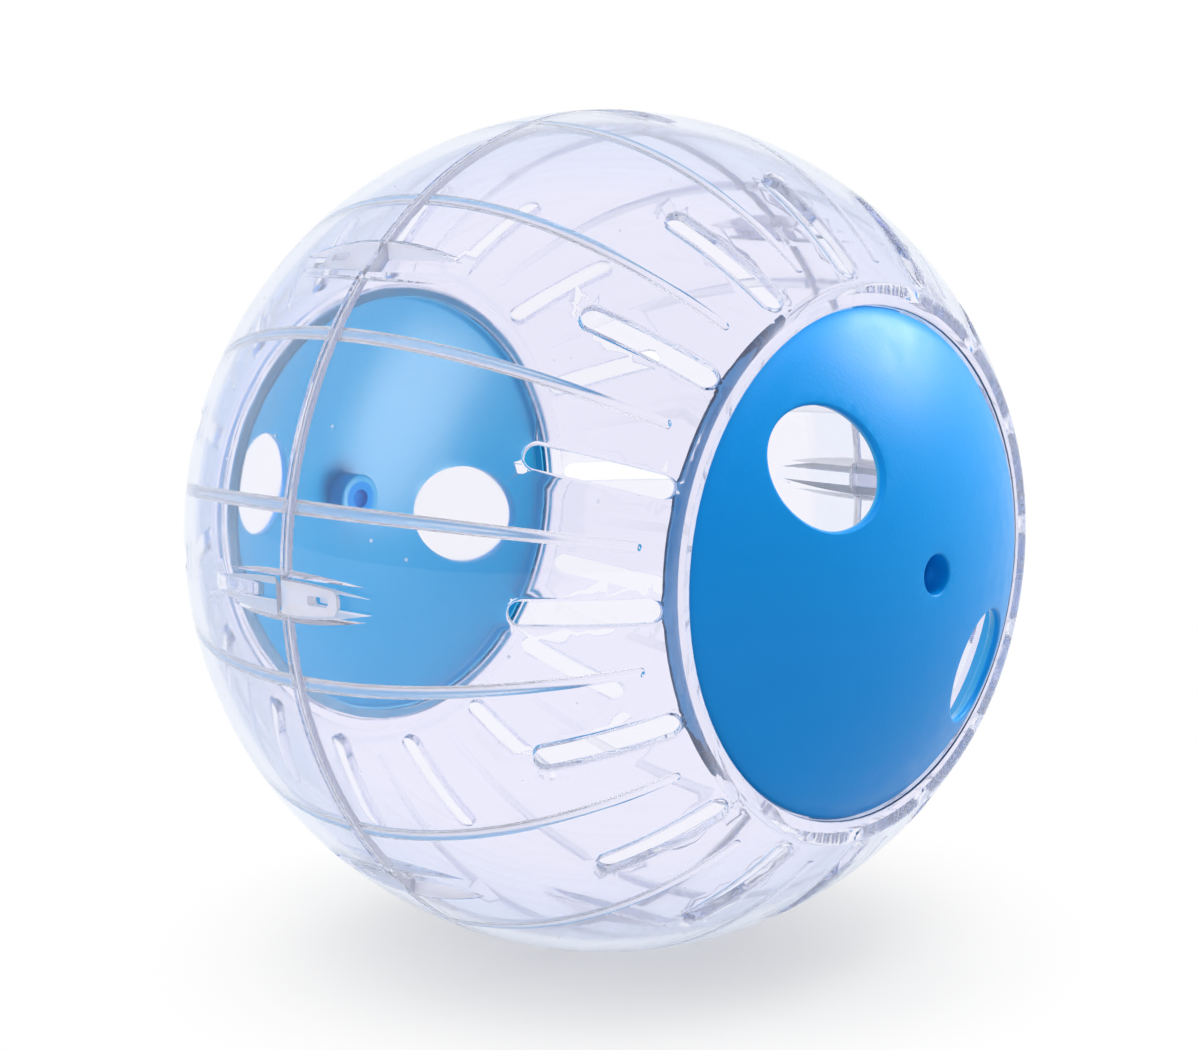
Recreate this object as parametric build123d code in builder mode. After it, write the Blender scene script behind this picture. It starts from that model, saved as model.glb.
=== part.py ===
"""Run-about ball for a hamster: two clear half shells clipped together and two blue lids.

Both halves come out of one mould, and so do both lids. Each is drawn in mould position, with the
ball's axis along Z and the seam on the XY plane, and is then laid on its side in the ball's own
frame: the ball's centre is the origin, its axis is X and Z is up.
"""

from build123d import *

import os
from math import asin, cos, degrees, isclose, radians, sin, sqrt

# Shell wall, in millimetres and degrees like every size below
ball_radius = 60.0
shell_wall = 1.6
seam_gap = 0.1
seam_chamfer = 0.25
seam_rim_width = 0.55
seam_rim_height = 0.8
seam_rim_round = 0.45

# Lid neck: a flat lip, a bore that takes the lid and a ledge that stops it
neck_bore_radius = 34.2
neck_wall = 1.6
lip_width = 2.8
lip_outer_round = 2.4
lip_inner_round = 0.35
ledge_depth = 2.1
ledge_width = 1.6
ledge_thickness = 1.2

# Vent slots, measured along the ball from the edge of the lip
slot_count = 16
slot_width = 3.1
slot_length = 18.8
slot_lip_gap = 1.8
slot_edge_round = 0.35
slot_overcut = 0.4

# Running ribs on the inside, one between each two slots
rib_width = 2.0
rib_height_at_seam = 0.8
rib_height_at_end = 0.3
rib_lip_gap = 5.1
rib_seam_gap = 0.5
rib_root = 0.5

# Seam clips: flat-floored recesses across the seam, with a tongue from one half in each
clip_pairs = 4
clip_depth = 1.96
clip_floor_width = 2.0
clip_mouth_width = 5.2
clip_floor_wall = 1.2
clip_bulkhead = 1.2
tongue_reach = 9.6
tongue_clearance = 0.15
tongue_sink = 0.1
tongue_corner = 0.5
window_length = 3.6
window_end_bar = 1.4
window_side_bar = 0.2
window_round = 0.5
catch_height = 0.3
catch_clearance = 0.25
catch_pass_clearance = 0.15

# Lids
lid_clearance = 0.3
lid_wall = 1.6
lid_apex_inset = 0.6
lid_band_width = 2.6
lid_band_round = 1.0
lid_rim_drop = 0.6
lid_rim_round = 0.5
lid_inner_round = 1.0
grip_count = 4
grip_angle = 15.5
grip_turn = 36.0
grip_inset = 0.1
grip_width = 0.9
grip_clearance = 0.1
finger_hole_radius = 7.8
finger_hole_margin = 2.8
finger_hole_round = 0.4
axle_bore_radius = 2.65
axle_bore_depth = 4.5
axle_bore_round = 0.3
axle_floor_wall = 1.0
axle_floor_hole_radius = 1.5
axle_boss_wall = 1.2
axle_boss_round = 0.4
right_lid_turn = 135.0
left_lid_turn = 59.0

# Sizes that follow from those above
inner_radius = ball_radius - shell_wall
seam_face = seam_gap / 2
lip_edge_radius = neck_bore_radius + lip_width
lip_height = sqrt(ball_radius**2 - lip_edge_radius**2)
lip_polar = degrees(asin(lip_edge_radius / ball_radius))
neck_outer_radius = neck_bore_radius + neck_wall
neck_root_height = sqrt(inner_radius**2 - neck_outer_radius**2)
ledge_height = lip_height - ledge_depth
ledge_radius = neck_bore_radius - ledge_width
neck_end_height = ledge_height - ledge_thickness
rib_radius = ((rib_width / 2)**2 + rib_height_at_seam**2) / (2 * rib_height_at_seam)
clip_floor_radius = ball_radius - clip_depth
clip_length = sqrt(ball_radius**2 - clip_floor_radius**2)
clip_wall_slope = (clip_mouth_width - clip_floor_width) / 2 / clip_depth
clip_pitch = 180 / clip_pairs
window_end = tongue_reach - window_end_bar
window_start = window_end - window_length
window_width = clip_floor_width - 2 * tongue_clearance - 2 * window_side_bar
lid_radius = neck_bore_radius - lid_clearance
lid_rim_height = lip_height - lid_rim_drop
lid_band_radius = lid_radius - lid_band_width
lid_apex_height = ball_radius - lid_apex_inset
dome_height = lid_apex_height - lip_height
dome_radius = (lid_radius**2 + dome_height**2) / (2 * dome_height)
dome_centre = lid_apex_height - dome_radius
skirt_inner_radius = lid_radius - lid_wall
finger_hole_offset = skirt_inner_radius - finger_hole_margin - finger_hole_radius
axle_floor_height = lid_apex_height - axle_bore_depth
axle_boss_end = axle_floor_height - axle_floor_wall
axle_boss_radius = axle_bore_radius + axle_boss_wall


def on_sphere(radius, polar):
    """Point of the XZ plane at this radius, at a polar angle from the ball's axis."""
    return (radius * sin(radians(polar)), radius * cos(radians(polar)))


def clip_section(floor_radius, floor_width, top_radius):
    """Corners of a clip's flat-floored section, whose sides open outwards."""
    flare = (top_radius - floor_radius) * clip_wall_slope
    return [
        (floor_radius, -floor_width / 2),
        (top_radius, -floor_width / 2 - flare),
        (top_radius, floor_width / 2 + flare),
        (floor_radius, floor_width / 2),
    ]


# Plain half: one revolved section from the seam rim to the lid neck
with BuildPart() as plain_half:
    rim_radius = inner_radius - seam_rim_height
    rim_root = (sqrt(inner_radius**2 - seam_rim_width**2), seam_rim_width)
    rim_crest = (rim_radius, seam_rim_width)
    seam_edge = (sqrt(ball_radius**2 - (seam_face + seam_chamfer)**2), seam_face + seam_chamfer)
    lip_edge = (lip_edge_radius, lip_height)
    lip_mouth = (neck_bore_radius, lip_height)
    neck_root = (neck_outer_radius, neck_root_height)
    with BuildSketch(Plane.XZ) as half_section:
        with BuildLine():
            Polyline(
                rim_root,
                rim_crest,
                (rim_radius, seam_face),
                (ball_radius - seam_chamfer, seam_face),
                seam_edge,
            )
            RadiusArc(seam_edge, lip_edge, -ball_radius)
            Polyline(
                lip_edge,
                lip_mouth,
                (neck_bore_radius, ledge_height),
                (ledge_radius, ledge_height),
                (ledge_radius, neck_end_height),
                (neck_outer_radius, neck_end_height),
                neck_root,
            )
            RadiusArc(neck_root, rim_root, inner_radius)
        make_face()
        fillet(half_section.vertices().sort_by_distance(rim_crest)[0], seam_rim_round)
        fillet(half_section.vertices().sort_by_distance(lip_edge)[0], lip_outer_round)
        fillet(half_section.vertices().sort_by_distance(lip_mouth)[0], lip_inner_round)
    revolve(axis=Axis.Z)

# Running rib: a half-round bead on the inner wall that sinks into it towards the lid
with BuildPart() as rib:
    rib_start = 90 - degrees((seam_rim_width + rib_seam_gap) / inner_radius)
    rib_end = lip_polar + degrees(rib_lip_gap / ball_radius)
    bead_start = on_sphere(inner_radius - rib_height_at_seam + rib_radius, rib_start)
    bead_end = on_sphere(inner_radius - rib_height_at_end + rib_radius, rib_end)
    with BuildLine(Plane.XZ) as rib_path:
        RadiusArc(bead_start, bead_end, -inner_radius)
    with BuildSketch(Plane(origin=rib_path.line @ 0, z_dir=rib_path.line % 0)):
        Circle(rib_radius)
    sweep()
    with Locations(rib_path.line @ 1):
        Sphere(rib_radius)
    Sphere(inner_radius + rib_root, mode=Mode.INTERSECT)

# Vent slot cutter, square to the wall at the middle of the slot
with BuildPart() as slot_cutter:
    slot_half_angle = degrees(asin(slot_length / 2 / ball_radius))
    slot_middle = lip_polar + degrees(slot_lip_gap / ball_radius) + slot_half_angle
    slot_sag = ball_radius * (1 - cos(radians(slot_half_angle)))
    out_x, out_z = on_sphere(1.0, slot_middle)
    slot_plane = Plane(
        origin=(ball_radius * out_x, 0, ball_radius * out_z),
        x_dir=(out_z, 0, -out_x),
        z_dir=(out_x, 0, out_z),
    )
    with BuildSketch(slot_plane.offset(-shell_wall - slot_sag - slot_overcut)):
        SlotOverall(slot_length, slot_width)
    extrude(amount=shell_wall + slot_sag + 2 * slot_overcut)

# Thickening of the wall under a clip's floor
with BuildPart() as clip_backing:
    backing_radius = clip_floor_radius - clip_floor_wall
    backing_width = clip_floor_width + 2 * clip_floor_wall
    with BuildSketch(Plane.XY.offset(seam_face)):
        Polygon(*clip_section(backing_radius, backing_width, ball_radius), align=None)
    extrude(amount=clip_length)
    Sphere(ball_radius - shell_wall / 2, mode=Mode.INTERSECT)

# Clip recess cutter, from the seam to past the recess's tip
with BuildPart() as recess_cutter:
    cutter_top = ball_radius + clip_depth
    with BuildSketch(Plane.XY):
        Polygon(*clip_section(clip_floor_radius, clip_floor_width, cutter_top), align=None)
    extrude(amount=clip_length + clip_depth)

# Tongue: reaches across the seam into the other half's recess, flush with the ball
with BuildPart() as tongue:
    tongue_floor = clip_floor_radius + tongue_clearance
    tongue_width = clip_floor_width - 2 * tongue_clearance
    with BuildSketch(Plane.XY.offset(clip_bulkhead / 2)):
        Polygon(*clip_section(tongue_floor, tongue_width, ball_radius), align=None)
    extrude(amount=-tongue_reach - clip_bulkhead / 2)
    tip_face = tongue.faces().sort_by(Axis.Z)[0]
    chamfer(tip_face.edges().filter_by(Axis.Y, reverse=True), tongue_corner)
    Sphere(ball_radius - tongue_sink, mode=Mode.INTERSECT)
    window_plane = Plane(origin=(0, 0, 0), x_dir=(0, 0, -1), z_dir=(1, 0, 0))
    with BuildSketch(window_plane):
        with Locations(((window_start + window_end) / 2, 0)):
            RectangleRounded(window_length, window_width, window_round)
    extrude(amount=2 * ball_radius, mode=Mode.SUBTRACT)
    with BuildSketch(window_plane.offset(tongue_floor)):
        with Locations((window_end - window_round, 0)):
            Rectangle(tongue_reach, window_width, align=(Align.MIN, Align.CENTER))
    extrude(amount=catch_height + catch_pass_clearance - tongue_clearance, mode=Mode.SUBTRACT)

# Catch: a ramp on the recess floor that stands in the tongue's window
with BuildPart() as catch:
    catch_root = clip_floor_radius - clip_floor_wall / 2
    catch_top = clip_floor_radius + catch_height
    catch_start = window_start + catch_clearance
    catch_end = window_end - catch_clearance
    with BuildSketch(Plane.XZ):
        with BuildLine():
            Polyline(
                (catch_root, catch_start),
                (clip_floor_radius, catch_start),
                (catch_top, (catch_start + catch_end) / 2),
                (catch_top, catch_end),
                (catch_root, catch_end),
                close=True,
            )
        make_face()
    extrude(amount=window_width / 2 - catch_clearance, both=True)

# Half shell in mould position, with recesses that take a tongue and tongues by turns
with BuildPart() as half_shell:
    add(plain_half.part)
    with PolarLocations(0, slot_count):
        add(slot_cutter.part, mode=Mode.SUBTRACT)
    fillet(half_shell.edges(Select.LAST).filter_by(GeomType.LINE, reverse=True), slot_edge_round)
    with PolarLocations(0, slot_count, start_angle=180 / slot_count):
        add(rib.part)
    with PolarLocations(0, 2 * clip_pairs):
        add(clip_backing.part)
    with PolarLocations(0, clip_pairs):
        add(recess_cutter.part, mode=Mode.SUBTRACT)
        add(catch.part)
    with PolarLocations(0, clip_pairs, start_angle=clip_pitch):
        with Locations((0, 0, clip_bulkhead)):
            add(recess_cutter.part, mode=Mode.SUBTRACT)
        add(tongue.part)

# Grip pad: a low band on the lid's skirt that all but touches the neck's bore
with BuildPart() as grip:
    grip_depth = lid_wall / 2 + lid_clearance - grip_clearance
    with BuildSketch(Plane.XZ):
        with Locations((neck_bore_radius - grip_clearance, ledge_height + grip_inset)):
            Rectangle(grip_depth, grip_width, align=(Align.MAX, Align.MIN))
    revolve(axis=Axis.Z, revolution_arc=grip_angle)

# Lid in mould position: a dome with a plug skirt, grip pads, finger holes and an axle bore
with BuildPart() as lid:
    inner_dome_radius = dome_radius - lid_wall
    inner_apex = (0, lid_apex_height - lid_wall)
    skirt_top = dome_centre + sqrt(inner_dome_radius**2 - skirt_inner_radius**2)
    band_edge = (lid_band_radius, dome_centre + sqrt(dome_radius**2 - lid_band_radius**2))
    lid_rim = (lid_radius, lid_rim_height)
    skirt_root = (skirt_inner_radius, skirt_top)
    with BuildSketch(Plane.XZ) as lid_section:
        with BuildLine():
            RadiusArc((0, lid_apex_height), band_edge, dome_radius)
            Polyline(
                band_edge,
                lid_rim,
                (lid_radius, ledge_height),
                (skirt_inner_radius, ledge_height),
                skirt_root,
            )
            RadiusArc(skirt_root, inner_apex, -inner_dome_radius)
            Line(inner_apex, (0, lid_apex_height))
        make_face()
        fillet(lid_section.vertices().sort_by_distance(band_edge)[0], lid_band_round)
        fillet(lid_section.vertices().sort_by_distance(lid_rim)[0], lid_rim_round)
        fillet(lid_section.vertices().sort_by_distance(skirt_root)[0], lid_inner_round)
    revolve(axis=Axis.Z)

    with BuildSketch(Plane.XY.offset(axle_boss_end)):
        Circle(axle_boss_radius)
    extrude(amount=lid_apex_height - lid_wall / 2 - axle_boss_end)
    with BuildSketch(Plane.XY.offset(axle_floor_height)):
        Circle(axle_bore_radius)
    extrude(amount=ball_radius, mode=Mode.SUBTRACT)
    with BuildSketch(Plane.XY):
        Circle(axle_floor_hole_radius)
        with PolarLocations(finger_hole_offset, 2):
            Circle(finger_hole_radius)
    extrude(amount=2 * ball_radius, mode=Mode.SUBTRACT)
    hole_walls = lid.faces().filter_by(GeomType.CYLINDER)
    finger_walls = hole_walls.filter_by(lambda wall: isclose(wall.radius, finger_hole_radius))
    fillet(finger_walls.edges().filter_by(Axis.Z, reverse=True), finger_hole_round)
    axle_walls = hole_walls.filter_by(lambda wall: isclose(wall.radius, axle_bore_radius))
    fillet(axle_walls.edges().sort_by(Axis.Z)[-1], axle_bore_round)
    boss_walls = hole_walls.filter_by(lambda wall: isclose(wall.radius, axle_boss_radius))
    fillet(boss_walls.edges().sort_by(Axis.Z)[0], axle_boss_round)
    with PolarLocations(0, grip_count, start_angle=grip_turn - grip_angle / 2):
        add(grip.part)

# The two halves and the two lids in the ball's frame, the left ones turned by one clip
right_plane = Plane.YZ
left_plane = Plane(
    origin=(0, 0, 0),
    x_dir=(0, cos(radians(clip_pitch)), sin(radians(clip_pitch))),
    z_dir=(-1, 0, 0),
)

with BuildPart(right_plane) as right_shell:
    add(half_shell.part)

with BuildPart(left_plane) as left_shell:
    add(half_shell.part)

with BuildPart(right_plane) as right_lid:
    add(lid.part, rotation=(0, 0, right_lid_turn))

with BuildPart(left_plane) as left_lid:
    add(lid.part, rotation=(0, 0, left_lid_turn))

os.makedirs("parts", exist_ok=True)
right_shell.part.label = "right_shell"
left_shell.part.label = "left_shell"
right_lid.part.label = "right_lid"
left_lid.part.label = "left_lid"
export_step(right_shell.part, "parts/right_shell.step")
export_step(left_shell.part, "parts/left_shell.step")
export_step(right_lid.part, "parts/right_lid.step")
export_step(left_lid.part, "parts/left_lid.step")
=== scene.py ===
# %% [markdown]
# A clear run-about ball for a hamster. Two clear half shells clip together along an upright seam,
# and a blue lid plugs into the neck on each side. The CAD model holds the shapes, so this lesson is
# about light and finish: clear plastic is mostly made of what stands around it.

# %% Load the CAD frame
import math

import bpy
from mathutils import Matrix, Vector

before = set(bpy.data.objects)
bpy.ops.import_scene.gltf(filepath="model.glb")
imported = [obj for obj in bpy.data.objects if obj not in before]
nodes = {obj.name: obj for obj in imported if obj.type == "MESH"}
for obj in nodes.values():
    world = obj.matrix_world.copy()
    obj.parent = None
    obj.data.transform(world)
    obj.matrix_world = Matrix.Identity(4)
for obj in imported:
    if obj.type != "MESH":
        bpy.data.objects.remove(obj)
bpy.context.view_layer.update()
MM = 0.001
scene = bpy.context.scene
scene.view_settings.view_transform = "Standard"
BOUNCES = 128  # light that runs along inside a clear wall needs many to find its way out
scene.cycles.max_bounces = BOUNCES
scene.cycles.glossy_bounces = BOUNCES
scene.cycles.transmission_bounces = BOUNCES
scene.cycles.transparent_max_bounces = BOUNCES

# %% [markdown]
# The camera stands almost level with the ball, a little more than three ball widths away, and looks at
# the corner between the side and the front. The centre of the ball sits just right of and below the
# middle of the picture, which a small lens shift gives without turning the camera.

# %% Camera
IMAGE_WIDTH, IMAGE_HEIGHT = 1198, 1050
BALL_RADIUS = 60.0 * MM
camera_azimuth = math.radians(44.025)
camera_elevation = math.radians(9.678)
camera_roll = math.radians(1.692)
camera_distance = 389.0 * MM
focal_pixels = 2700.6
ball_centre_pixel = (605.3, 530.9)
SENSOR_WIDTH = 36.0
NEAREST_SEEN = 0.01
FARTHEST_SEEN = 50.0

lens = bpy.data.cameras.new("photo_lens")
camera = bpy.data.objects.new("photo_camera", lens)
scene.collection.objects.link(camera)
scene.camera = camera
lens.sensor_width = SENSOR_WIDTH
lens.lens = SENSOR_WIDTH * focal_pixels / IMAGE_WIDTH
lens.shift_x = (IMAGE_WIDTH / 2 - ball_centre_pixel[0]) / IMAGE_WIDTH
lens.shift_y = (ball_centre_pixel[1] - IMAGE_HEIGHT / 2) / IMAGE_WIDTH
lens.clip_start = NEAREST_SEEN
lens.clip_end = FARTHEST_SEEN
to_camera = Vector(
    (
        math.sin(camera_azimuth) * math.cos(camera_elevation),
        -math.cos(camera_azimuth) * math.cos(camera_elevation),
        math.sin(camera_elevation),
    )
)
look = to_camera.to_track_quat("Z", "Y").to_matrix().to_4x4()
turn = Matrix.Rotation(-camera_roll, 4, "Z")
camera.matrix_world = Matrix.Translation(to_camera * camera_distance) @ look @ turn
print("lens of", round(lens.lens, 1), "mm at", round(camera_distance / MM), "mm")

# %% [markdown]
# A polished sphere shows every fault in its normals, and a CAD mesh is made of flat triangles. Cutting
# them finer would help, but there is an exact way: on a sphere the true normal points along the radius.
# This modifier joins the triangles into one skin, keeps the real corners sharp, and gives each triangle
# that lies on the moulded sphere, outside or inside, its true normals. Ribs, bevels and rounded edges lie
# off the sphere and keep their own.

# %% True normals for moulded spheres
WALL = 1.6 * MM
SKIN_TOLERANCE = 0.08 * MM
WELD_DISTANCE = 0.002 * MM
CORNER_ANGLE = math.radians(38)
RADIAL_ENOUGH = 0.985  # cosine of the largest angle between a face on the sphere and the radius


def moulded_normals(name, centre_x, radius):
    """Geometry nodes that give a spherical wall about (centre_x, 0, 0) its true normals."""
    tree = bpy.data.node_groups.new(name, "GeometryNodeTree")
    tree.interface.new_socket("Geometry", in_out="INPUT", socket_type="NodeSocketGeometry")
    tree.interface.new_socket("Geometry", in_out="OUTPUT", socket_type="NodeSocketGeometry")

    def node(kind, **settings):
        made = tree.nodes.new(kind)
        for key, value in settings.items():
            setattr(made, key, value)
        return made

    def link(source, target):
        tree.links.new(source, target)

    start = node("NodeGroupInput")
    end = node("NodeGroupOutput")
    weld = node("GeometryNodeMergeByDistance")
    weld.inputs["Distance"].default_value = WELD_DISTANCE
    smooth = node("GeometryNodeSetShadeSmooth")
    corner = node("GeometryNodeInputMeshEdgeAngle")
    is_corner = node("FunctionNodeCompare", data_type="FLOAT", operation="GREATER_THAN")
    is_corner.inputs[1].default_value = CORNER_ANGLE
    creases = node("GeometryNodeSetMeshNormal", mode="SHARPNESS")
    creases.inputs["Remove Custom"].default_value = True
    place = node("GeometryNodeInputPosition")
    arm = node("ShaderNodeVectorMath", operation="SUBTRACT")
    arm.inputs[1].default_value = (centre_x, 0, 0)
    outward = node("ShaderNodeVectorMath", operation="NORMALIZE")
    facing = node("GeometryNodeInputNormal")
    flat = node("GeometryNodeFieldOnDomain", data_type="FLOAT_VECTOR", domain="FACE")
    lean = node("ShaderNodeVectorMath", operation="DOT_PRODUCT")
    size = node("ShaderNodeMath", operation="ABSOLUTE")
    side = node("ShaderNodeMath", operation="SIGN")
    faces_out = node("FunctionNodeCompare", data_type="FLOAT", operation="GREATER_THAN")
    faces_out.inputs[1].default_value = RADIAL_ENOUGH
    middle = node("GeometryNodeFieldOnDomain", data_type="FLOAT_VECTOR", domain="FACE")
    reach = node("ShaderNodeVectorMath", operation="LENGTH")
    from_mid_wall = node("ShaderNodeMath", operation="SUBTRACT")
    from_mid_wall.inputs[1].default_value = radius - WALL / 2
    depth = node("ShaderNodeMath", operation="ABSOLUTE")
    at_a_skin = node("ShaderNodeMath", operation="COMPARE")
    at_a_skin.inputs[1].default_value = WALL / 2
    at_a_skin.inputs[2].default_value = SKIN_TOLERANCE
    on_sphere = node("ShaderNodeMath", operation="MULTIPLY")
    radial = node("ShaderNodeVectorMath", operation="SCALE")
    choose = node("GeometryNodeSwitch", input_type="VECTOR")
    polish = node("GeometryNodeSetMeshNormal", mode="FREE", domain="CORNER")

    link(start.outputs[0], weld.inputs["Geometry"])
    link(weld.outputs[0], smooth.inputs["Geometry"])
    link(smooth.outputs[0], creases.inputs["Mesh"])
    link(corner.outputs["Unsigned Angle"], is_corner.inputs[0])
    link(is_corner.outputs[0], creases.inputs["Edge Sharpness"])
    link(place.outputs[0], arm.inputs[0])
    link(arm.outputs[0], outward.inputs[0])
    link(facing.outputs["True Normal"], flat.inputs[0])
    link(flat.outputs[0], lean.inputs[0])
    link(outward.outputs[0], lean.inputs[1])
    link(lean.outputs["Value"], size.inputs[0])
    link(lean.outputs["Value"], side.inputs[0])
    link(size.outputs[0], faces_out.inputs[0])
    link(arm.outputs[0], middle.inputs[0])
    link(middle.outputs[0], reach.inputs[0])
    link(reach.outputs["Value"], from_mid_wall.inputs[0])
    link(from_mid_wall.outputs[0], depth.inputs[0])
    link(depth.outputs[0], at_a_skin.inputs[0])
    link(faces_out.outputs[0], on_sphere.inputs[0])
    link(at_a_skin.outputs[0], on_sphere.inputs[1])
    link(outward.outputs[0], radial.inputs[0])
    link(side.outputs[0], radial.inputs["Scale"])
    link(on_sphere.outputs[0], choose.inputs["Switch"])
    link(facing.outputs["Normal"], choose.inputs["False"])
    link(radial.outputs[0], choose.inputs["True"])
    link(creases.outputs[0], polish.inputs["Mesh"])
    link(choose.outputs[0], polish.inputs["Custom Normal"])
    link(polish.outputs[0], end.inputs[0])
    return tree


LID_APEX = 59.4 * MM
LID_DOME_RADIUS = 53.3 * MM
shell_polish = moulded_normals("shell_polish", 0.0, BALL_RADIUS)
for shell in ("left_shell", "right_shell"):
    nodes[shell].modifiers.new("polish", "NODES").node_group = shell_polish
for lid, sign in (("left_lid", -1), ("right_lid", 1)):
    dome_centre = sign * (LID_APEX - LID_DOME_RADIUS)
    dome_polish = moulded_normals(lid + "_polish", dome_centre, LID_DOME_RADIUS)
    nodes[lid].modifiers.new("polish", "NODES").node_group = dome_polish
print("polished", len(nodes), "pieces")

# %% [markdown]
# Each finish below is a Principled shader with a few nodes that vary it: soft noise for polish and grain,
# small sums for masks. These helpers make those nodes, so that each finish then reads as a short recipe.

# %% Helpers for finishes


def new_material(name):
    """A material with a Principled shader, and its nodes, links, shader and output."""
    made = bpy.data.materials.new(name)
    made.use_nodes = True
    tree = made.node_tree
    return made, tree.nodes, tree.links, tree.nodes["Principled BSDF"], tree.nodes["Material Output"]


def own_space(tree):
    """Places in the object's own space."""
    return tree.nodes.new("ShaderNodeTexCoord").outputs["Object"]


NOISE_DETAIL = 2.0
NOISE_LOW, NOISE_HIGH = 0.3, 0.7  # soft noise seldom leaves these values


def grain(tree, size):
    """Noise in the object's own space, with spots of about this size."""
    spots = tree.nodes.new("ShaderNodeTexNoise")
    spots.inputs["Scale"].default_value = 1 / size
    spots.inputs["Detail"].default_value = NOISE_DETAIL
    tree.links.new(own_space(tree), spots.inputs["Vector"])
    return spots.outputs["Fac"]


def spread(tree, value, from_low, from_high, low=0.0, high=1.0):
    """A value from from_low to from_high turned into a number from low to high."""
    made = tree.nodes.new("ShaderNodeMapRange")
    made.inputs["From Min"].default_value = from_low
    made.inputs["From Max"].default_value = from_high
    made.inputs["To Min"].default_value = low
    made.inputs["To Max"].default_value = high
    tree.links.new(value, made.inputs["Value"])
    return made.outputs["Result"]


def between(tree, value, low, high):
    """A noise value turned into a number from low to high."""
    return spread(tree, value, NOISE_LOW, NOISE_HIGH, low, high)


def colours(tree, share, first, second):
    """A colour that goes from first to second as the share goes from 0 to 1."""
    made = tree.nodes.new("ShaderNodeMix")
    made.data_type = "RGBA"
    made.inputs["A"].default_value = first
    made.inputs["B"].default_value = second
    tree.links.new(share, made.inputs["Factor"])
    return made.outputs["Result"]


def bump(tree, height, depth, target):
    """Raise a surface by this depth where the height value is 1."""
    made = tree.nodes.new("ShaderNodeBump")
    made.inputs["Strength"].default_value = 1.0
    made.inputs["Distance"].default_value = depth
    tree.links.new(height, made.inputs["Height"])
    tree.links.new(made.outputs["Normal"], target)


def sums(tree, operation, first, *rest):
    """A Math node on sockets or plain numbers."""
    made = tree.nodes.new("ShaderNodeMath")
    made.operation = operation
    for place, value in zip(made.inputs, (first, *rest)):
        if isinstance(value, (int, float)):
            place.default_value = value
        else:
            tree.links.new(value, place)
    return made.outputs[0]


def both(tree, first, second):
    """1 where both masks are 1."""
    return sums(tree, "MULTIPLY", first, second)


def square(tree, value):
    """A value times itself."""
    return sums(tree, "POWER", value, 2)


def axes(tree, place):
    """The x, y and z of a place."""
    made = tree.nodes.new("ShaderNodeSeparateXYZ")
    tree.links.new(place, made.inputs[0])
    return made.outputs


def distance(tree, place):
    """How far a place is from the object's origin."""
    made = tree.nodes.new("ShaderNodeVectorMath")
    made.operation = "LENGTH"
    tree.links.new(place, made.inputs[0])
    return made.outputs["Value"]


print("helpers for finishes are ready")

# %% [markdown]
# Not all of the clear moulding is polished. A mould is left matt where nobody needs to look through, so the
# walls and tongues of the clips are frosted, the running ribs and the seam rims a little less, and the wall
# carries a few specks. Picked faces with a second material could show this. A mask in the object's own
# space leaves the CAD mesh alone: it finds each place by its distance from the centre and from the seam,
# and it fades along the ribs, which sink into the wall towards the lid.

# %% Frosted places on the shell
CLIPS_ROUND_THE_SEAM = 8
CLIP_FLOOR = 58.04 * MM
CLIP_MOUTH = 5.3 * MM
CLIP_LENGTH = 15.3 * MM
RIB_FADE = 26.0 * MM
RIB_REACH = 43.0 * MM
RIB_FROST = 0.7
SPECK_PITCH = 7.0 * MM
SPECK_RADIUS = 0.25 * MM
MASK_MARGIN = 0.08 * MM
SKIN_MARGIN = 0.06 * MM


def frost(tree):
    """1 on clip walls, tongues and specks, less on ribs and seam rims, 0 on the polished wall."""
    place = own_space(tree)
    x, y, z = axes(tree, place)
    half_pitch = math.pi / CLIPS_ROUND_THE_SEAM
    turn = sums(tree, "WRAP", sums(tree, "ARCTAN2", z, y), half_pitch, -half_pitch)
    reach = sums(tree, "SQRT", sums(tree, "ADD", square(tree, y), square(tree, z)))
    height = sums(tree, "MULTIPLY", reach, sums(tree, "COSINE", turn))
    across = sums(tree, "MULTIPLY", reach, sums(tree, "SINE", turn))
    from_seam = sums(tree, "ABSOLUTE", x)
    from_centre = distance(tree, place)
    over_a_clip = both(
        tree,
        sums(tree, "LESS_THAN", sums(tree, "ABSOLUTE", across), CLIP_MOUTH / 2),
        sums(tree, "LESS_THAN", from_seam, CLIP_LENGTH),
    )
    below_the_skin = sums(tree, "LESS_THAN", from_centre, BALL_RADIUS - SKIN_MARGIN)
    above_the_floor = sums(tree, "GREATER_THAN", height, CLIP_FLOOR + MASK_MARGIN)
    clip = both(tree, over_a_clip, both(tree, below_the_skin, above_the_floor))
    inside_the_wall = sums(tree, "LESS_THAN", from_centre, BALL_RADIUS - WALL - MASK_MARGIN)
    before_the_neck = spread(tree, from_seam, RIB_REACH, RIB_FADE)
    beside_the_clips = sums(tree, "SUBTRACT", 1, over_a_clip)
    bead = both(tree, both(tree, inside_the_wall, before_the_neck), beside_the_clips)
    some_frost = sums(tree, "MULTIPLY", bead, RIB_FROST)
    dust = tree.nodes.new("ShaderNodeTexVoronoi")
    dust.inputs["Scale"].default_value = 1 / SPECK_PITCH
    tree.links.new(place, dust.inputs["Vector"])
    speck = sums(tree, "LESS_THAN", dust.outputs["Distance"], SPECK_RADIUS / SPECK_PITCH)
    return sums(tree, "MAXIMUM", sums(tree, "MAXIMUM", clip, speck), some_frost)


print("frost on", CLIPS_ROUND_THE_SEAM, "clips round the seam")

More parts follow.
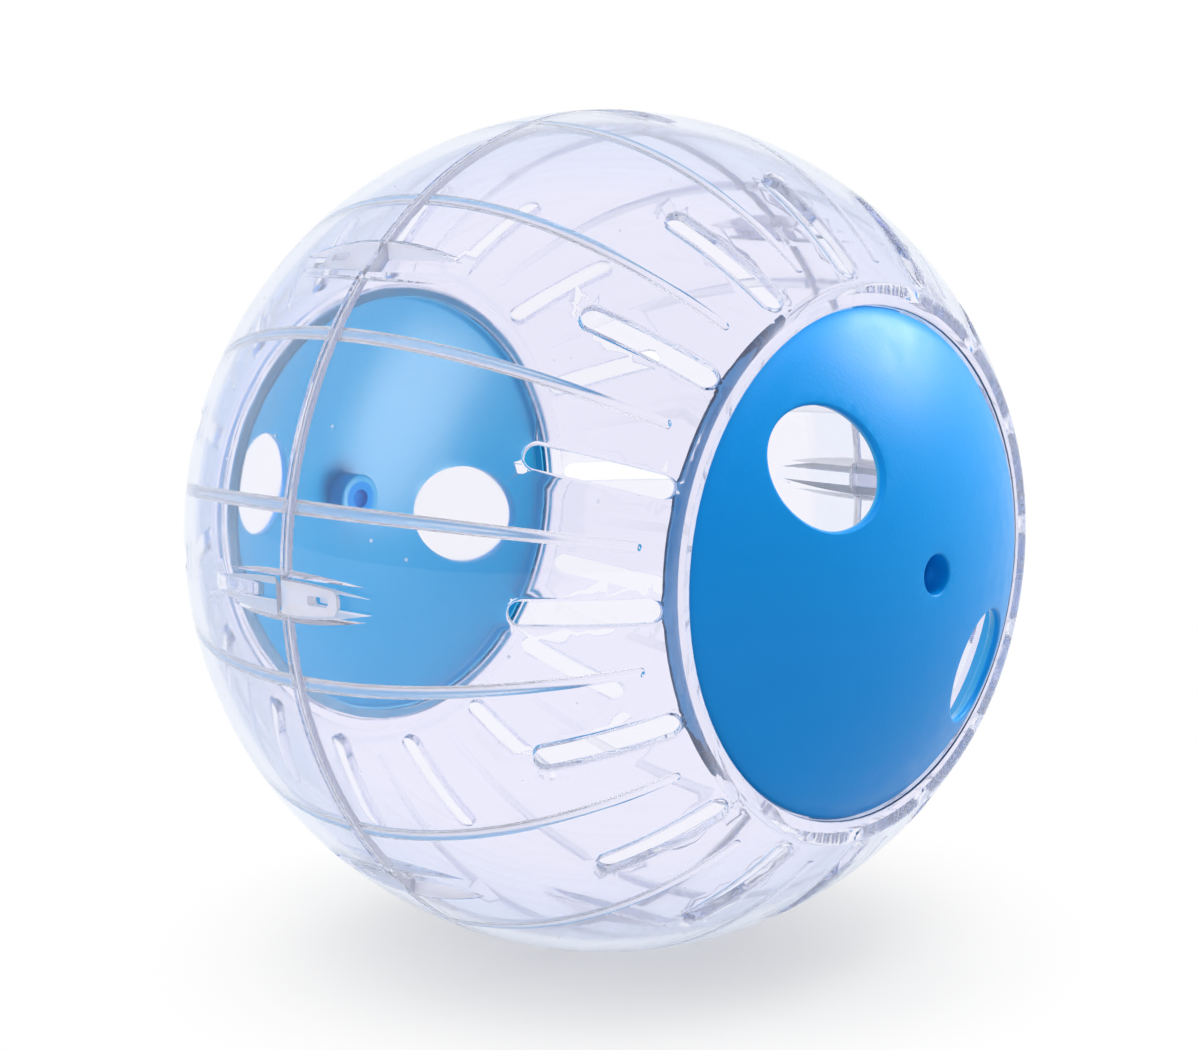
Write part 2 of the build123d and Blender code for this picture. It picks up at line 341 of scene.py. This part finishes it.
# %% [markdown]
# The shell is clear polystyrene with a faint lavender cast. A clear sheet is white where it is seen against
# white, so almost all of its look is this cast: a tint that light takes at each surface, deeper where the
# eye looks along the wall, and a weak volume. Frosted places scatter the light, and a small share of it
# comes back milky. Lamps pass straight through, as they do through a thin wall, and only lose a little light.

# %% Clear shell
LAVENDER = (0.918, 0.912, 0.990, 1)
LIMB_BLUE = (0.62, 0.76, 0.95, 1)
LIMB_BLEND, LIMB_START, LIMB_END = 0.3, 0.25, 0.75
POLYSTYRENE_IOR = 1.5
FROSTED = 0.5  # roughness of a frosted place
MILKY = 0.3  # share of the light that a frosted place sends back
POLISH_SPOTS, POLISH_BEST, POLISH_WORST = 6 * MM, 0.01, 0.05
RIPPLE_WIDTH, RIPPLE_DEPTH = 14 * MM, 0.02 * MM
LAMP_SHARE = (0.90, 0.90, 0.90, 1)
CAST_COLOUR, CAST_DENSITY = (0.45, 0.60, 0.92, 1), 4.0


def clear_plastic():
    """Clear polystyrene, frosted in places, with a lavender cast."""
    made, mat_nodes, links, plastic, out = new_material("clear_plastic")
    tree = made.node_tree
    edge_on = mat_nodes.new("ShaderNodeLayerWeight")
    edge_on.inputs["Blend"].default_value = LIMB_BLEND
    limb = spread(tree, edge_on.outputs["Facing"], LIMB_START, LIMB_END)
    links.new(colours(tree, limb, LAVENDER, LIMB_BLUE), plastic.inputs["Base Color"])
    plastic.inputs["IOR"].default_value = POLYSTYRENE_IOR
    matt = frost(tree)
    clear_share = sums(tree, "SUBTRACT", 1, sums(tree, "MULTIPLY", matt, MILKY))
    links.new(clear_share, plastic.inputs["Transmission Weight"])
    polish = between(tree, grain(tree, POLISH_SPOTS), POLISH_BEST, POLISH_WORST)
    roughness = sums(tree, "MAXIMUM", polish, sums(tree, "MULTIPLY", matt, FROSTED))
    links.new(roughness, plastic.inputs["Roughness"])
    bump(tree, grain(tree, RIPPLE_WIDTH), RIPPLE_DEPTH, plastic.inputs["Normal"])
    lamps = mat_nodes.new("ShaderNodeBsdfTransparent")
    lamps.inputs["Color"].default_value = LAMP_SHARE
    ray = mat_nodes.new("ShaderNodeLightPath")
    mix = mat_nodes.new("ShaderNodeMixShader")
    links.new(ray.outputs["Is Shadow Ray"], mix.inputs[0])
    links.new(plastic.outputs[0], mix.inputs[1])
    links.new(lamps.outputs[0], mix.inputs[2])
    links.new(mix.outputs[0], out.inputs["Surface"])
    cast = mat_nodes.new("ShaderNodeVolumeAbsorption")
    cast.inputs["Color"].default_value = CAST_COLOUR
    cast.inputs["Density"].default_value = CAST_DENSITY
    links.new(cast.outputs[0], out.inputs["Volume"])
    return made


shell_plastic = clear_plastic()
for shell in ("left_shell", "right_shell"):
    nodes[shell].data.materials.clear()
    nodes[shell].data.materials.append(shell_plastic)
print("clear plastic on both shells")

# %% [markdown]
# The lids are opaque blue plastic out of a mould with a fine spark-eroded grain. The grain is too small to
# count, so it is a bump, and it blurs the studio lamp into one broad soft highlight. The core of the mould is
# smooth, so the inner face, which shows through the clear wall, is glossier. Its paler, more cyan blue is
# painted light, for the brighter light on the far lid. The distance from the centre of the dome tells the two
# faces apart.

# %% Blue lids
AXLE_BORE_RADIUS = 2.75 * MM
OUTSIDE_BLUE = (0.0, 0.24, 0.68, 1)
# painted light: the inner face gets a paler, more cyan blue for the brighter light on the far lid
PAINTED_LIGHTER_INSIDE_BLUE = (0.0, 0.305, 0.63, 1)
INSIDE_GLOSS = 0.27  # roughness of the smooth inner face
LID_SPECULAR = 0.18
MATT_SPOTS, MATT_LOW, MATT_HIGH = 3 * MM, 0.34, 0.42
SPARK_SIZE, SPARK_DEPTH = 0.45 * MM, 0.02 * MM


def inside_the_lid(tree):
    """1 on the inner face of a lid, 0 on the grained dome and in the axle bore."""
    x, y, z = axes(tree, own_space(tree))
    along = sums(tree, "SUBTRACT", sums(tree, "ABSOLUTE", x), LID_APEX - LID_DOME_RADIUS)
    across = sums(tree, "ADD", square(tree, y), square(tree, z))
    reach = sums(tree, "SQRT", sums(tree, "ADD", square(tree, along), across))
    behind = sums(tree, "LESS_THAN", reach, LID_DOME_RADIUS - WALL / 2)
    return both(tree, behind, sums(tree, "GREATER_THAN", across, AXLE_BORE_RADIUS**2))


def blue_plastic():
    """Opaque blue plastic with a grained outside, and a smooth inside painted paler as painted light."""
    made, _, links, plastic, _ = new_material("blue_plastic")
    tree = made.node_tree
    inside = inside_the_lid(tree)
    # the inner face takes the paler blue, which is painted light
    links.new(colours(tree, inside, OUTSIDE_BLUE, PAINTED_LIGHTER_INSIDE_BLUE), plastic.inputs["Base Color"])
    plastic.inputs["Coat Roughness"].default_value = INSIDE_GLOSS
    links.new(inside, plastic.inputs["Coat Weight"])
    plastic.inputs["Specular IOR Level"].default_value = LID_SPECULAR
    matt = between(tree, grain(tree, MATT_SPOTS), MATT_LOW, MATT_HIGH)
    links.new(matt, plastic.inputs["Roughness"])
    bump(tree, grain(tree, SPARK_SIZE), SPARK_DEPTH, plastic.inputs["Normal"])
    return made


lid_plastic = blue_plastic()
for lid in ("left_lid", "right_lid"):
    nodes[lid].data.materials.clear()
    nodes[lid].data.materials.append(lid_plastic)
print("blue plastic on both lids")

# %% [markdown]
# The ball stands on a white table that runs off into a white backdrop. A table lit by lamps fades with
# distance and would meet the backdrop in a grey line. So only the table near the ball is lit paper, which
# keeps the shadow, and further out the eye meets plain white. Seen through the clear plastic, the table
# close to the ball is painted plain white too: painted light over the shadow that lies there.

# %% White table
FLOOR_SIZE = 6.0
PAPER = (0.80, 0.795, 0.785, 1)
PAPER_ROUGHNESS = 0.6
LIT_RADIUS, PLAIN_RADIUS = 12 * MM, 75 * MM
PLAIN_UNDER_THE_BALL = 0.1
# painted light: through clear plastic the table is this share plain white, over the shadow near the ball
WHITE_PAINTED_OVER_SHADOW_THROUGH_PLASTIC = 0.95
floor_mesh = bpy.data.meshes.new("floor")
half = FLOOR_SIZE / 2
floor_mesh.from_pydata(
    [(-half, -half, 0), (half, -half, 0), (half, half, 0), (-half, half, 0)], [], [(0, 1, 2, 3)]
)
floor = bpy.data.objects.new("floor", floor_mesh)
floor.location.z = -BALL_RADIUS
scene.collection.objects.link(floor)


def seen_ray(tree, kinds=("Is Camera Ray", "Is Glossy Ray", "Is Transmission Ray")):
    """1 for rays that the eye follows: straight, mirrored or through clear plastic."""
    ray = tree.nodes.new("ShaderNodeLightPath")
    total = ray.outputs[kinds[0]]
    for kind in kinds[1:]:
        total = sums(tree, "MAXIMUM", total, ray.outputs[kind])
    return total


def white_table():
    """Lit paper near the ball that turns into plain white further out, and through clear plastic is painted
    plain white over its shadow.
    """
    made, mat_nodes, links, paper, out = new_material("white_table")
    tree = made.node_tree
    paper.inputs["Base Color"].default_value = PAPER
    paper.inputs["Roughness"].default_value = PAPER_ROUGHNESS
    paper.inputs["Specular IOR Level"].default_value = 0.0
    reach = distance(tree, own_space(tree))
    fade = spread(tree, reach, LIT_RADIUS, PLAIN_RADIUS, PLAIN_UNDER_THE_BALL)
    fade.node.interpolation_type = "SMOOTHSTEP"
    seen = sums(tree, "MULTIPLY", fade, seen_ray(tree))
    # painted light: rays through clear plastic see plain white over the table's shadow
    bent = seen_ray(tree, ("Is Transmission Ray",))
    through = sums(tree, "MULTIPLY", bent, WHITE_PAINTED_OVER_SHADOW_THROUGH_PLASTIC)
    plain = mat_nodes.new("ShaderNodeEmission")
    mix = mat_nodes.new("ShaderNodeMixShader")
    links.new(sums(tree, "MAXIMUM", seen, through), mix.inputs[0])
    links.new(paper.outputs[0], mix.inputs[1])
    links.new(plain.outputs[0], mix.inputs[2])
    links.new(mix.outputs[0], out.inputs["Surface"])
    return made


floor_mesh.materials.append(white_table())
print("white table", FLOOR_SIZE, "m wide")

# %% [markdown]
# The backdrop is as bright as paper where the eye meets it, and less bright as a light, so that the blue
# stays deep. Mirrored in the blue and in the clear wall, the studio is white behind the ball and dark on
# the photographer's side: a gloss that mirrors white all round lays a milky veil over every colour.

# %% White backdrop
camera_front = Vector((math.sin(camera_azimuth), -math.cos(camera_azimuth), 0))
BACKDROP_LIGHT = 0.6
DARK_SIDE = 0.35
TURN_TO_DARK = 0.4

world = bpy.data.worlds.new("white_backdrop")
scene.world = world
world.use_nodes = True
studio = world.node_tree
sky = studio.nodes["Background"]
sky.inputs["Color"].default_value = (1, 1, 1, 1)
seen = seen_ray(studio, ("Is Camera Ray", "Is Transmission Ray"))
level = spread(studio, seen, 0.0, 1.0, BACKDROP_LIGHT)
way = studio.nodes.new("ShaderNodeTexCoord")
toward_front = studio.nodes.new("ShaderNodeVectorMath")
toward_front.operation = "DOT_PRODUCT"
toward_front.inputs[1].default_value = camera_front
studio.links.new(way.outputs["Generated"], toward_front.inputs[0])
to_dark = (-TURN_TO_DARK, TURN_TO_DARK, 1.0, DARK_SIDE)
mirrored = spread(studio, toward_front.outputs["Value"], *to_dark)
ray_kind = studio.nodes.new("ShaderNodeLightPath").outputs
only_mirrored = sums(studio, "SUBTRACT", ray_kind["Is Glossy Ray"], ray_kind["Is Transmission Ray"])
only_mirrored.node.use_clamp = True
strength = studio.nodes.new("ShaderNodeMix")
studio.links.new(only_mirrored, strength.inputs["Factor"])
studio.links.new(level, strength.inputs["A"])
studio.links.new(mirrored, strength.inputs["B"])
studio.links.new(strength.outputs["Result"], sky.inputs["Strength"])
print("backdrop light", BACKDROP_LIGHT, "with a dark side of", DARK_SIDE)

# %% [markdown]
# Each softbox has its own job. The key stands on the right behind the ball and rakes across the near lid,
# which answers with a broad soft highlight. A large one overhead gives the shadow under the ball. A glow
# from below, as a light table gives, reaches the inside of the far lid through the clear wall. The last one,
# on the left, brings out the frosted clips, the skirt of the near lid in its neck and the outside of the far
# lid. On polished plastic a lamp would only draw a hard bright square, so light linking keeps each lamp to
# the pieces that need it.

# %% Lamps


def softbox(name, place, width, tall, power, lit, colour=(1, 1, 1)):
    """A rectangular lamp that faces the ball, stays out of sight and lights only some pieces."""
    data = bpy.data.lights.new(name, "AREA")
    data.color = colour
    data.shape = "RECTANGLE"
    data.size = width
    data.size_y = tall
    data.energy = power
    data.cycles.use_multiple_importance_sampling = False
    lamp = bpy.data.objects.new(name, data)
    lamp.location = place
    lamp.rotation_euler = lamp.location.to_track_quat("Z", "Y").to_euler()
    lamp.visible_camera = False
    receivers = bpy.data.collections.new("lit_by_" + name)
    for receiver in lit:
        receivers.objects.link(receiver)
    lamp.light_linking.receiver_collection = receivers
    scene.collection.objects.link(lamp)
    return lamp


WARM = (1.0, 0.97, 0.80)
near_lid, far_lid = nodes["right_lid"], nodes["left_lid"]
both_lids = [near_lid, far_lid]
both_shells = [nodes["left_shell"], nodes["right_shell"]]
softbox("key_softbox", (0.26, 0.61, 0.45), 0.55, 0.35, power=7.8, lit=[near_lid], colour=WARM)
softbox("top_softbox", (0.0, 0.0, 0.8), 1.0, 1.0, power=6.9, lit=both_lids + [floor])
below = (0.323, 0.149, -0.21)
glow = softbox("table_glow", below, 0.3, 0.45, power=3.2, lit=[far_lid], colour=WARM)
solid = bpy.data.collections.new("in_the_way_of_table_glow")
for node in nodes.values():
    solid.objects.link(node)
glow.light_linking.blocker_collection = solid
on_the_left = (-0.35, -0.55, 0.2)
fill = softbox("left_softbox", on_the_left, 0.4, 0.4, power=3.2, lit=both_shells + both_lids)
fill.visible_glossy = False
fill.visible_transmission = False
print("four softboxes")
